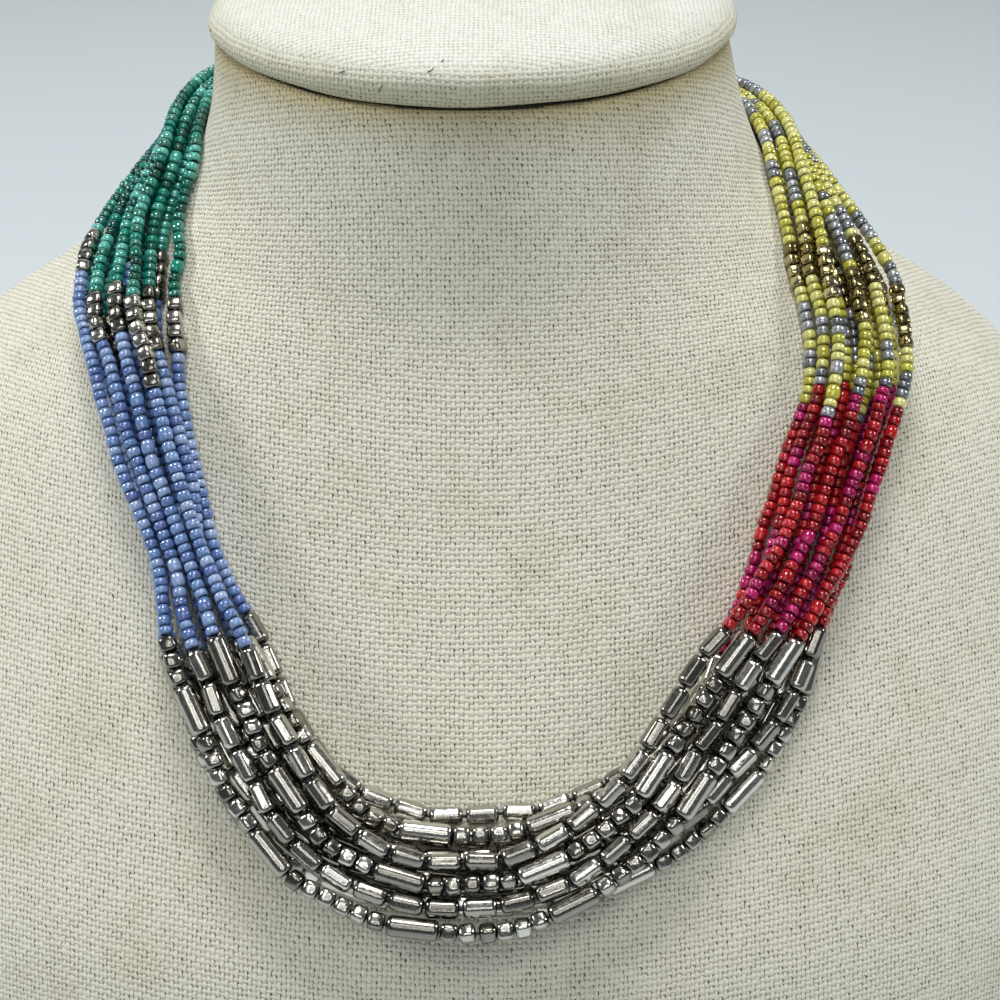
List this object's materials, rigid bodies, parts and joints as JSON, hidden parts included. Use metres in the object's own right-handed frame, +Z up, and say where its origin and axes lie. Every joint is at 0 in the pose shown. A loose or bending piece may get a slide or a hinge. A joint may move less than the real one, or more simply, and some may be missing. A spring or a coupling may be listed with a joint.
{
  "type": "beaded necklace on a neck bust",
  "caption": "Multi-strand glass and metal bead necklace draped over a plain linen-covered neck bust that stands on its flat underside.",
  "frame": {"origin": "middle of the underside of the bust, on the surface that it stands on", "axes": "+Z up the neck, -Y out of the chest towards the viewer, +X to the right seen from the front"},
  "size_m": [0.2564, 0.1896, 0.1942],
  "materials": {
    "bust_linen": "matte coarse plain weave",
    "cap_linen": "matte coarse plain weave over padding",
    "glass_left": "glossy opaque glass",
    "glass_right": "glossy coloured glass",
    "cast_metal": "antiqued cast metal, worn bright on the ridges",
    "nugget_string": "antiqued cast metal, worn bright on the ridges",
    "thread": "waxed dark thread",
    "clasp_metal": "satin"
  },
  "bodies": {
    "root": {"bust_body": "bust_linen", "neck_cap": "cap_linen", "end_bar_left": "clasp_metal", "end_bar_right": "clasp_metal", "clasp": "clasp_metal", "seeds_left_01": "glass_left", "seeds_left_02": "glass_left", "seeds_left_03": "glass_left", "seeds_left_04": "glass_left", "seeds_left_05": "glass_left", "seeds_left_06": "glass_left", "seeds_left_07": "glass_left", "seeds_left_08": "glass_left", "seeds_left_09": "glass_left", "seeds_left_10": "glass_left", "seeds_left_11": "glass_left", "seeds_left_12": "glass_left", "seeds_left_13": "glass_left", "metal_beads_01": "cast_metal", "metal_beads_02": "cast_metal", "metal_beads_03": "cast_metal", "metal_beads_04": "cast_metal", "metal_beads_05": "cast_metal", "metal_beads_06": "cast_metal", "metal_beads_07": "cast_metal", "metal_beads_08": "cast_metal", "metal_beads_09": "cast_metal", "metal_beads_10": "cast_metal", "metal_beads_11": "cast_metal", "metal_beads_12": "cast_metal", "metal_beads_13": "cast_metal", "thread_01": "thread", "thread_02": "thread", "thread_03": "nugget_string", "thread_04": "thread", "thread_05": "nugget_string", "thread_06": "nugget_string", "thread_07": "thread", "thread_08": "nugget_string", "thread_09": "thread", "thread_10": "thread", "thread_11": "nugget_string", "thread_12": "thread", "thread_13": "nugget_string", "seeds_right_01": "glass_right", "seeds_right_02": "glass_right", "seeds_right_03": "glass_right", "seeds_right_04": "glass_right", "seeds_right_05": "glass_right", "seeds_right_06": "glass_right", "seeds_right_07": "glass_right", "seeds_right_08": "glass_right", "seeds_right_09": "glass_right", "seeds_right_10": "glass_right", "seeds_right_11": "glass_right", "seeds_right_12": "glass_right", "seeds_right_13": "glass_right"}
  },
  "joints": []
}
